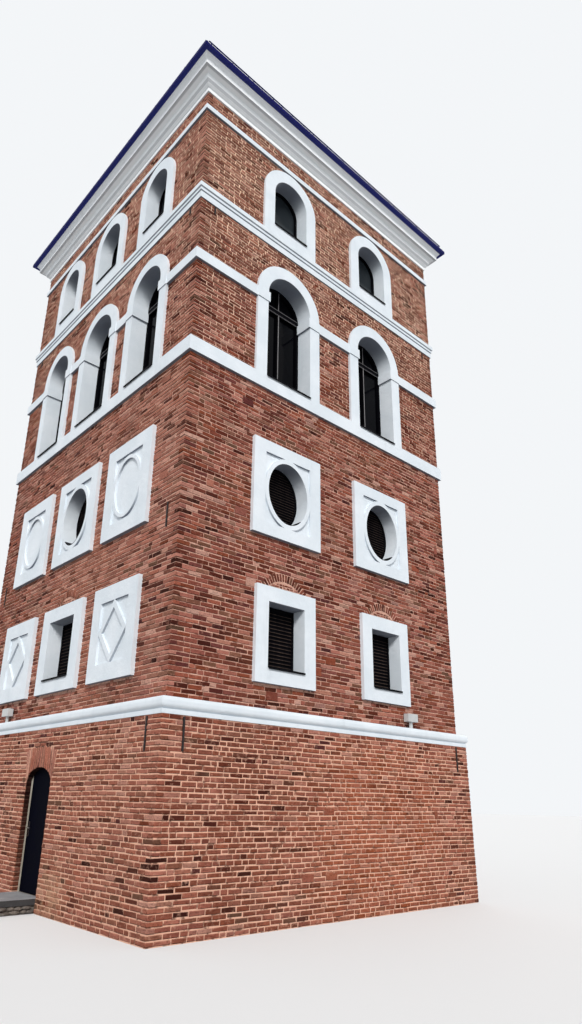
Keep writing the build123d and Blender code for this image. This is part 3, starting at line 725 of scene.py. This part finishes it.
def blocks_for(side, storey):
    """Everything that the courses of one storey have to stop at on one side."""
    found = []
    for number, middle in enumerate(side.bays):
        if storey == "shaft":
            found.append(block_panel(middle, plaque_widths[side.kind][number], square_low, square_high))
            found.append(block_panel(middle, panel_widths[side.kind][number], round_low, round_high))
            if side.kind == "flank" or number == 1:
                arch = (square_high, square_high + relief_crown_rise, relief_crown_rise)
                found.append(block_arch(middle, relief_half, relief_half, *arch))
        elif storey == "belfry":
            found.append(block_round_head(middle, tall_widths[side.kind][number], tall_high))
        elif storey == "attic":
            found.append(block_round_head(middle, attic_widths[side.kind][number], attic_arch_high))
        elif storey == "base" and side.name == "front" and number == 1:
            opening = 2 * (door_half - jamb_proud + into_plaster)
            arch = (door_half, door_arch_half, door_springing, door_arch_crown, door_arch_drop)
            found += [block_panel(middle, opening, 0.0, door_springing), block_arch(middle, *arch)]
    return found


def free_stretches(low_end, high_end, blocks, bottom, top):
    """The stretches of a course that bricks fill."""
    stretches = [(low_end, high_end)]
    for block in blocks:
        hit = block(bottom, top)
        if hit:
            before = [(start, min(end, hit[0])) for start, end in stretches]
            after = [(max(start, hit[1]), end) for start, end in stretches]
            stretches = sorted((start, end) for start, end in before + after if end > start)
    return [(start, end) for start, end in stretches if end - start > shortest_stretch]


def split_stretch(start, end, storey, last_joints):
    """Cut one stretch into bricks of mixed lengths, keeping upright joints off those of the course below."""
    pieces = []
    spot = start
    while end - spot > stretcher * last_brick:
        length = header if draw.random() < storeys[storey].header_share else stretcher
        length += draw.uniform(*length_play)
        if any(abs(spot + length - other) < joint_stagger for other in last_joints):
            length = stretcher if length < (stretcher + header) / 2 else header
            length += draw.uniform(*length_play)
        pieces.append((spot, spot + length))
        spot += length + storeys[storey].upright_joint * draw.uniform(*upright_play)
    if end - spot > shortest_brick:
        pieces.append((spot, end))
    return pieces


def brick_tone():
    """A brick's own tone: mostly red-brown, some burnt dark and a few pale."""
    roll = draw.random()
    if roll < burnt_below:
        return draw.uniform(*burnt_tones)
    if roll < dark_below:
        return draw.uniform(*dark_tones)
    if roll < pale_above:
        return min(max(draw.gauss(usual_tone, usual_spread), usual_low), usual_high)
    return draw.uniform(*pale_tones)


def start_bricks():
    """An empty mesh with a tone, a warmth and a fringe for each brick: the fringe carries smeared mortar on
    top edges and painted shade on lower edges.
    """
    bm = bmesh.new()
    for name in attributes:
        bm.verts.layers.float.new(name)
    return bm


def fire_brick(bm, verts, uneven=corner_play, shade=None):
    """Give the corners of one brick its tone, its warmth and a little unevenness."""
    tone, warmth, fringe = (bm.verts.layers.float[name] for name in attributes)
    shade, warm = brick_tone() if shade is None else shade, draw.random()
    for vert in verts:
        vert[tone], vert[warmth], vert[fringe] = shade, warm, 0.0
        vert.co += Vector((draw.uniform(-1, 1), draw.uniform(-1, 1), draw.uniform(-1, 1))) * uneven


def lay_brick(bm, place, length, height, depth):
    """Add one brick as a block."""
    fire_brick(bm, add_block(bm, place, (length, depth, height)))


def lay_wedge(bm, side, foot, head, out, depth, uneven, shade):
    """Add one arch brick between two points at its foot and two at its head, each across and height."""
    made = bmesh.ops.create_cube(bm, size=1.0)
    for vert in made["verts"]:
        ends = head if vert.co.z > 0 else foot
        across, height = ends[1 if vert.co.x > 0 else 0]
        vert.co = side.spot(across, height, out(height) - (depth(height) if vert.co.y > 0 else 0.0))
    fire_brick(bm, made["verts"], uneven, shade)


def ease_bricks(bm, side, edge):
    """Round off the faces of every brick that show, and mark their rims: the top for smeared mortar, the
    bottom for painted shade.
    """
    bm.normal_update()
    fringe = bm.verts.layers.float["fringe"]
    shown = [face for face in bm.faces if face.normal.dot(side.outward) > facing
             or (abs(face.normal.dot(side.along)) > facing and face.calc_area() > deep_flank)]
    for face in shown:
        middle = face.calc_center_median().z
        for vert in face.verts:
            # Top corners get smeared mortar, lower corners painted shade
            vert[fringe] = 1.0 if vert.co.z > middle else -1.0
    bmesh.ops.inset_individual(bm, faces=shown, thickness=edge, depth=edge_fall, use_even_offset=True,
                               use_interpolate=True)
    for face in shown:
        for vert in face.verts:
            vert[fringe] = 0.0


def sway(spot):
    """How far old courses wander up or down; the lowest ones lie level."""
    slow = math.sin(1.3 * spot.x + 0.9 * spot.y + 0.55 * spot.z)
    quick = math.sin(3.3 * spot.x - 2.6 * spot.y + 1.7 * spot.z)
    return (slow_sway * slow + quick_sway * quick) * min(max(spot.z - 0.03, 0.0) / 0.6, 1.0)


def batter_at(height):
    """How far the base's face stands out from the shaft's at a height."""
    return foot_proud + (ledge_proud - foot_proud) * height / base_top


def course_bricks(side, storey, bottom, pitch, end, course, last_joints):
    """The bricks of one course on one side: left end, right end and whether it turns a corner."""
    joint = storeys[storey].upright_joint
    own_corners = (course + side.order) % 2 == 0
    bricks = []
    for start, stop in free_stretches(-end - brick_proud, end + brick_proud, blocks_for(side, storey), bottom,
                                      bottom + pitch):
        tail = []
        if start < -end:
            if own_corners:
                bricks.append((start, start + stretcher, True))
            start += (stretcher if own_corners else corner_depth) + joint
        if stop > end:
            if own_corners:
                tail.append((stop - stretcher, stop, True))
            stop -= (stretcher if own_corners else corner_depth) + joint
        bricks += [(left, right, False) for left, right in split_stretch(start, stop, storey, last_joints)]
        bricks += tail
    return bricks


def course_levels(low, high):
    """The bed lines of one storey's courses: evenly spaced, each then a little off."""
    count = max(round((high - low) / course_pitch), 1)
    pitch = (high - low) / count
    levels = [low + number * pitch for number in range(count + 1)]
    return [level + draw.uniform(-level_play, level_play) if 0 < number < count else level
            for number, level in enumerate(levels)]


def lay_side(side, storey, levels, lean):
    """Lay one storey's courses on one side."""
    bm = start_bricks()
    last_joints = []
    for course, (bottom, top) in enumerate(zip(levels, levels[1:])):
        middle, pitch = (bottom + top) / 2, top - bottom
        proud = batter_at(middle) if lean else 0.0
        at_door = storey == "base" and side.name == "front" and middle < door_springing
        bricks = course_bricks(side, storey, bottom, pitch, side.half + proud, course, last_joints)
        for left, right, corner in bricks:
            tall = pitch - storeys[storey].bed_joint * draw.uniform(*bed_play)
            out = proud + brick_proud - edge_fall + draw.uniform(*face_play)
            depth = corner_depth if corner else brick_depth
            if at_door and min(abs(left), abs(right)) < door_half + jamb_reach:
                depth = side.face + out - door_frame_front
            height = middle
            if not corner and draw.random() < double_share and course < len(levels) - 2 and not at_door:
                tall, height, out = tall + pitch, middle + pitch / 2, out + 0.004
            place = side.place((left + right) / 2, height, out - depth / 2, lean, draw.gauss(0.0, brick_turn))
            place = Matrix.Translation((0, 0, sway(place.translation))) @ place
            lay_brick(bm, place, right - left, tall, depth)
        last_joints = [right + storeys[storey].upright_joint / 2 for left, right, corner in bricks]
    ease_bricks(bm, side, storeys[storey].eased_edge)
    return bm


def lay_storey(name, storey, low, high, lean=0.0):
    """Lay one storey's brickwork on all four sides."""
    whole = bmesh.new()
    levels = course_levels(low, high)
    for side in sides:
        gather(whole, lay_side(side, storey, levels, lean))
    add_piece(name, whole, "brick")


def relieving_arches():
    """Brick-on-edge arches over the square windows, packed below with small bits of brick."""
    whole = bmesh.new()
    radius = (relief_half**2 + relief_crown_rise**2) / (2 * relief_crown_rise)
    centre = square_high + relief_crown_rise - radius
    spread = math.asin(relief_half / radius)
    under = radius - relief_ring - 0.012

    def on_ring(middle, reach, angle):
        return (middle + reach * math.sin(angle), centre + reach * math.cos(angle))

    for side in sides:
        ring = start_bricks()
        for middle in side.bays if side.kind == "flank" else side.bays[1:2]:
            for number in range(relief_count):
                gap = draw.uniform(*relief_gap_play)
                angles = [spread * (2 * (number + share) / relief_count - 1) for share in (gap / 2, 1 - gap)]
                foot = [on_ring(middle, radius - relief_ring, angle) for angle in angles]
                head = [on_ring(middle, radius + draw.uniform(-0.012, 0.004), angle) for angle in angles]
                out = brick_proud - edge_fall + draw.uniform(-0.003, 0.002)
                lay_wedge(ring, side, foot, head, lambda height, out=out: out, lambda height: brick_depth,
                          0.002, draw.choice(relief_tones))
            for row in range(packing_rows):
                height = square_high + packing_pitch * (row + 0.5)
                reach = math.sqrt(max(under**2 - (height + packing_pitch * 0.5 - centre)**2, 0.0))
                spot = draw.uniform(0.0, 0.03) - reach
                while spot < reach - 0.03:
                    length = draw.uniform(0.035, 0.10)
                    turn = draw.gauss(0.0, packing_turn)
                    place = side.place(middle + spot + length / 2, height, 0.0, 0.0, turn)
                    sunk = Matrix.Translation((0, brick_depth / 2 - packing_sunk, 0))
                    tall = packing_pitch * draw.uniform(0.5, 0.75)
                    lay_brick(ring, place @ sunk, length, tall, brick_depth)
                    spot += length + draw.uniform(0.010, 0.028)
        ease_bricks(ring, side, relief_edge)
        gather(whole, ring)
    add_piece("relieving_arches", whole, "brick")


def door_arch():
    """The rough arch of bricks on end over the door, its feet on the rounded head of the opening."""
    bm = start_bricks()
    front = sides[0]

    def under(share):
        rise = (door_rise - jamb_proud) * math.sqrt(1 - share**2)
        return (share * (door_half - jamb_proud), door_springing + rise)

    def over(share):
        uneven = draw.uniform(-0.03, 0.02)
        return (share * door_arch_half, door_arch_crown - door_arch_drop * share**2 + uneven)

    for number in range(door_voussoirs):
        turns = [(number + share) / door_voussoirs for share in (0.09, 0.86 + draw.uniform(-0.08, 0.04))]
        shares = [-math.cos(math.pi * turn) * 0.999 for turn in turns]
        out = brick_proud - edge_fall + draw.uniform(-0.005, 0.003)
        lay_wedge(
            bm, front, [under(share) for share in shares], [over(2 * turn - 1) for turn in turns],
            lambda height, out=out: batter_at(height) + out,
            lambda height, out=out: front.face + batter_at(height) + out - door_frame_front,
            0.006, draw.uniform(*door_arch_tones),
        )
    ease_bricks(bm, front, door_arch_edge)
    add_piece("door_arch", bm, "brick")


def solids_of(node):
    """The lowest and highest corner of each separate solid of a CAD node."""
    bm = bmesh.new()
    bm.from_mesh(frame["nodes"][node].data)
    bmesh.ops.remove_doubles(bm, verts=list(bm.verts), dist=1e-5)
    left, found = set(bm.verts), []
    while left:
        stack, group = [left.pop()], []
        while stack:
            vert = stack.pop()
            group.append(vert.co.copy())
            for edge in vert.link_edges:
                other = edge.other_vert(vert)
                if other in left:
                    left.remove(other)
                    stack.append(other)
        found.append([Vector([pick(axis) for axis in zip(*group)]) for pick in (min, max)])
    bm.free()
    return sorted(found, key=lambda box: (round(box[0].z, 3), round(box[0].x, 3), round(box[0].y, 3)))


def parts_of(node):
    """Each solid of a node: its side, its middle across, its width, how far out it reaches, its heights."""
    for low, high in solids_of(node):
        middle = (low + high) / 2
        side = max(sides, key=lambda side: middle.dot(side.outward) - side.face)
        yield (side, *side.span(low, high), low.z, high.z)


def add_bar(bm, side, across, height, out, size, bevel, lean=0.0):
    """Add a bar with its own width, depth and height in front of a side."""
    add_block(bm, side.place(across, height, out, lean), size, bevel)


def louvre_slats(name, node, pitch, oval):
    """Tilted slats inside the rim of each louvre panel; on an oval panel each has its own length."""
    bm = bmesh.new()
    for side, across, width, out, low, high in parts_of(node):
        middle, tall = (low + high) / 2, high - low
        count = int((tall - 2 * louvre_rim) / pitch)
        for number in range(count):
            height = middle + (number - (count - 1) / 2) * pitch
            half = width / 2 - louvre_rim
            if oval:
                share = (height - middle) / (tall / 2 - louvre_rim)
                half *= math.sqrt(max(1 - share**2, 0.0))
            if half < shortest_half_slat:
                continue
            centre = out - plate_sunk + slat_depth / 2 * math.cos(slat_lean) - slat_sunk
            size = (2 * half + slat_ends, slat_depth, slat_thick)
            add_bar(bm, side, across, height, centre, size, 0.0015, -slat_lean)
    add_piece(name, bm, "louvre", finishes["slat"])


def window_bars():
    """Transoms and middle bars of the tall windows, with the pale beads on them."""
    dark, pale = bmesh.new(), bmesh.new()
    for side, across, width, out, low, high in parts_of("window_glass"):
        if low > attic_low:
            continue
        bottom = low + rim_width
        inner = width - 2 * rim_width
        lower = impost_high - under_transom - bottom
        upper = high - rim_width - (impost_high + over_transom)
        bars = (
            (dark, impost_high + 0.02, 0.0, (inner, 0.030, 0.115), 0.004),
            (pale, impost_high - 0.034, 0.012, (inner, 0.020, 0.010), 0.002),
            (pale, impost_high + 0.074, 0.012, (inner, 0.020, 0.010), 0.002),
            (dark, bottom + lower / 2, 0.0, (0.056, 0.016, lower), 0.003),
            (pale, bottom + lower / 2, 0.010, (0.018, 0.018, lower), 0.003),
            (pale, impost_high + over_transom + upper / 2, 0.004, (0.010, 0.016, upper), 0.002),
        )
        for bm, height, proud, size, bevel in bars:
            add_bar(bm, side, across, height, out + frame_before_glass + proud, size, bevel)
    add_piece("window_transoms", dark, "window_iron")
    add_piece("window_beads", pale, "window_iron", finishes["bead"])


def sill_lips():
    """The turned-down front edge of each straight metal sill. The oval windows' sills have none."""
    bm = bmesh.new()
    for side, across, width, out, low, high in parts_of("metal_sills"):
        if not round_low < low < round_high:
            size = (width, lip_thick, lip_height)
            add_bar(bm, side, across, high - lip_height / 2, out + 0.001, size, 0.0015)
    add_piece("sill_lips", bm, "sill_metal")


def roof_seams():
    """Standing seams up each slope and a rolled cap along each hip."""
    low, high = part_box("roof_covering")
    run = min(high.x, high.y) - 0.030
    pitch = math.atan((high.z - low.z) / run)
    seams, caps = bmesh.new(), bmesh.new()
    for side in sides:
        wide, deep = (high.x, high.y) if side.kind == "front" else (high.y, high.x)
        count = int(wide * 2 / seam_pitch)
        for number in range(count + 1):
            across = (number - count / 2) * seam_pitch
            reach = min(wide - abs(across), run) - seam_stop
            if reach < shortest_seam:
                continue
            middle = (seam_foot + reach) / 2
            place = side.place(across, low.z + middle * math.tan(pitch), deep - side.face - middle)
            slope = Matrix.Rotation(pitch, 4, "X") @ Matrix.Translation((0, 0, seam_high / 2))
            length = (reach - seam_foot) / math.cos(pitch)
            add_block(seams, place @ slope, (seam_thick, length, seam_high), 0.004)
    for sign_x in (-1, 1):
        for sign_y in (-1, 1):
            corner = Vector((sign_x * high.x, sign_y * high.y, low.z))
            peak = Vector((sign_x * (high.x - run), sign_y * (high.y - run), high.z))
            start, end = (corner.lerp(peak, share) for share in hip_ends)
            axis = end - start
            place = Matrix.Translation((start + end) / 2) @ axis.to_track_quat("Z", "Y").to_matrix().to_4x4()
            bmesh.ops.create_cone(caps, cap_ends=True, segments=14, radius1=hip_radius, radius2=hip_radius,
                                  depth=axis.length, matrix=place)
    add_piece("roof_seams", seams, "roof_metal")
    add_piece("hip_caps", caps, "roof_metal")


def landing_stones():
    """Rubble stones that face the footing of the landing slab."""
    bm = bmesh.new()
    low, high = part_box("step_footing")
    front, half = low.y + 0.016, high.x - 0.012
    wall = -half_depth - foot_proud
    spots = ((-half, front, 0), (half, front, 0), (half, wall, 0), (-half, wall, 0))
    corners = [Vector(spot) for spot in spots]
    for start, end in (corners[:2], corners[1:3], (corners[3], corners[0])):
        length = (end - start).length
        along = (end - start).to_track_quat("X", "Z").to_matrix().to_4x4()
        for row, height in enumerate(stone_rows):
            spot = 0.05 + 0.05 * row
            while spot < length - 0.03:
                size = draw.uniform(*stone_lengths)
                centre = start.lerp(end, spot / length) + Vector((0, 0, height + draw.uniform(-0.006, 0.006)))
                verts = bmesh.ops.create_icosphere(bm, subdivisions=2, radius=1.0)["verts"]
                half_sizes = (size, size * draw.uniform(*stone_widths), draw.uniform(*stone_heights))
                shape = Matrix.Diagonal((*half_sizes, 1.0))
                for vert in verts:
                    lump = 1 + 0.13 * math.sin(5 * vert.co.x + 11 * spot) * math.cos(4 * vert.co.z + 7 * size)
                    vert.co = vert.co * lump + Vector((draw.uniform(-1, 1), draw.uniform(-1, 1), 0)) * 0.04
                tilt = Matrix.Rotation(draw.uniform(-0.2, 0.2), 3, "Y")
                bmesh.ops.rotate(bm, verts=verts, matrix=tilt)
                bmesh.ops.transform(bm, verts=verts, matrix=Matrix.Translation(centre) @ along @ shape)
                spot += size * stone_spacing
    add_piece("footing_stones", bm, "footing_stone")


dress_frame()
base_lean = math.atan((foot_proud - ledge_proud) / base_top)
between_rows = (square_high + round_low) / 2
lay_storey("base_bricks", "base", first_bed, base_top, base_lean)
lay_storey("shaft_bricks_lower", "shaft", moulding_top, between_rows)
lay_storey("shaft_bricks_upper", "shaft", between_rows, sill_low)
lay_storey("belfry_bricks_lower", "belfry", sill_high, impost_low)
lay_storey("belfry_bricks_upper", "belfry", impost_high, attic_low)
lay_storey("attic_bricks", "attic", attic_high, string_low)
lay_storey("frieze_bricks", "frieze", string_high, cornice_low)
relieving_arches()
door_arch()
louvre_slats("square_slats", "square_louvres", 0.065, False)
louvre_slats("oval_slats", "oculus_louvres", 0.054, True)
window_bars()
sill_lips()
roof_seams()
landing_stones()


# Floor, light and camera
def seen_rays(steps):
    """A mask that is 1 for the camera, for gloss and through glass."""
    rays = steps.node("ShaderNodeLightPath").outputs
    total = rays["Is Camera Ray"]
    for label in ("Is Glossy Ray", "Is Transmission Ray"):
        total = steps.maths("MAXIMUM", total, rays[label])
    return total


def pale_floor(name, shade, bounce, lit):
    """A floor that looks pale and partly lit of itself, but throws less light up at the object."""
    skin = Finish(name, 0.9)
    seen = seen_rays(skin)
    tone = skin.node("ShaderNodeMix", data_type="RGBA")
    tone.inputs["A"].default_value = grey(bounce)
    tone.inputs["B"].default_value = grey(shade)
    skin.link(seen, tone.inputs["Factor"])
    skin.colour(tone.outputs["Result"])
    glow = skin.node("ShaderNodeEmission", {"Color": grey(shade)}).outputs["Emission"]
    inputs = {"Fac": skin.times(seen, lit), 1: skin.shader.outputs["BSDF"], 2: glow}
    blend = skin.node("ShaderNodeMixShader", inputs)
    skin.link(blend.outputs["Shader"], skin.tree.nodes["Material Output"].inputs["Surface"])
    return skin.material


def soft_lamp(name, energy, spread, shade, towards):
    """A broad soft sun."""
    lamp = bpy.data.lights.new(name, "SUN")
    lamp.energy = energy
    lamp.angle = math.radians(spread)
    lamp.color = shade
    sun = bpy.data.objects.new(name, lamp)
    sun.rotation_euler = Vector(towards).to_track_quat("-Z", "Y").to_euler()
    bpy.context.scene.collection.objects.link(sun)


def studio():
    """A pale floor, a sky that is brightest at the horizon, a broad sun and a weak fill from behind."""
    bm = bmesh.new()
    bmesh.ops.create_circle(bm, cap_ends=True, segments=96, radius=150.0)
    mesh = to_mesh(bm, "studio_floor")
    mesh.materials.append(pale_floor("studio_floor", 0.86, 0.37, 0.35))
    floor = bpy.data.objects.new("studio_floor", mesh)
    bpy.context.scene.collection.objects.link(floor)

    world = bpy.data.worlds.new("studio_sky")
    bpy.context.scene.world = world
    world.use_nodes = True
    steps = Steps(world.node_tree)
    fade = {"Value": steps.axis("ShaderNodeTexCoord", "Generated", "Z"), "From Min": 0.0, "From Max": 0.9,
            "To Min": 0.95, "To Max": 0.40}
    light = steps.tree.nodes["Background"]
    light.inputs["Color"].default_value = (0.93, 0.96, 1.0, 1.0)
    steps.link(steps.node("ShaderNodeMapRange", fade).outputs["Result"], light.inputs["Strength"])
    seen = steps.node("ShaderNodeBackground", {"Color": (0.9, 0.92, 0.94, 1.0)}).outputs["Background"]
    inputs = {"Fac": seen_rays(steps), 1: light.outputs["Background"], 2: seen}
    blend = steps.node("ShaderNodeMixShader", inputs)
    steps.link(blend.outputs["Shader"], steps.tree.nodes["World Output"].inputs["Surface"])
    soft_lamp("soft_sun", 2.5, 16, (1.0, 0.97, 0.94), (-0.68, 0.54, -0.56))
    soft_lamp("soft_fill", 0.9, 60, (0.96, 0.98, 1.0), (0.65, -0.65, -0.2))


def camera():
    """The camera at the photograph's place, a little above eye level and tilted up."""
    focal, middle_x, middle_y = 675.788, 268.623, 559.547
    wide, tall = 582, 1024
    pitch, roll, yaw = 0.34239, 0.02158, 0.85012
    level = Vector((-math.sin(yaw), math.cos(yaw), 0.0))
    across = Vector((math.cos(yaw), math.sin(yaw), 0.0))
    up = Vector((0.0, 0.0, 1.0))
    forward = level * math.cos(pitch) + up * math.sin(pitch)
    upward = up * math.cos(pitch) - level * math.sin(pitch)
    right = across * math.cos(roll) + upward * math.sin(roll)
    upright = upward * math.cos(roll) - across * math.sin(roll)
    lens = bpy.data.cameras.new("camera")
    lens.sensor_width = 36.0
    lens.lens = focal / tall * lens.sensor_width
    lens.shift_x = (wide / 2 - middle_x) / tall
    lens.shift_y = (middle_y - tall / 2) / tall
    lens.clip_end = 500.0
    stand = bpy.data.objects.new("camera", lens)
    turn = Matrix((right, upright, -forward)).transposed().to_4x4()
    stand.matrix_world = Matrix.Translation((12.0011, -9.0314, 1.7845)) @ turn
    bpy.context.scene.collection.objects.link(stand)
    bpy.context.scene.camera = stand


studio()
camera()
bpy.context.scene.view_settings.view_transform = "Standard"
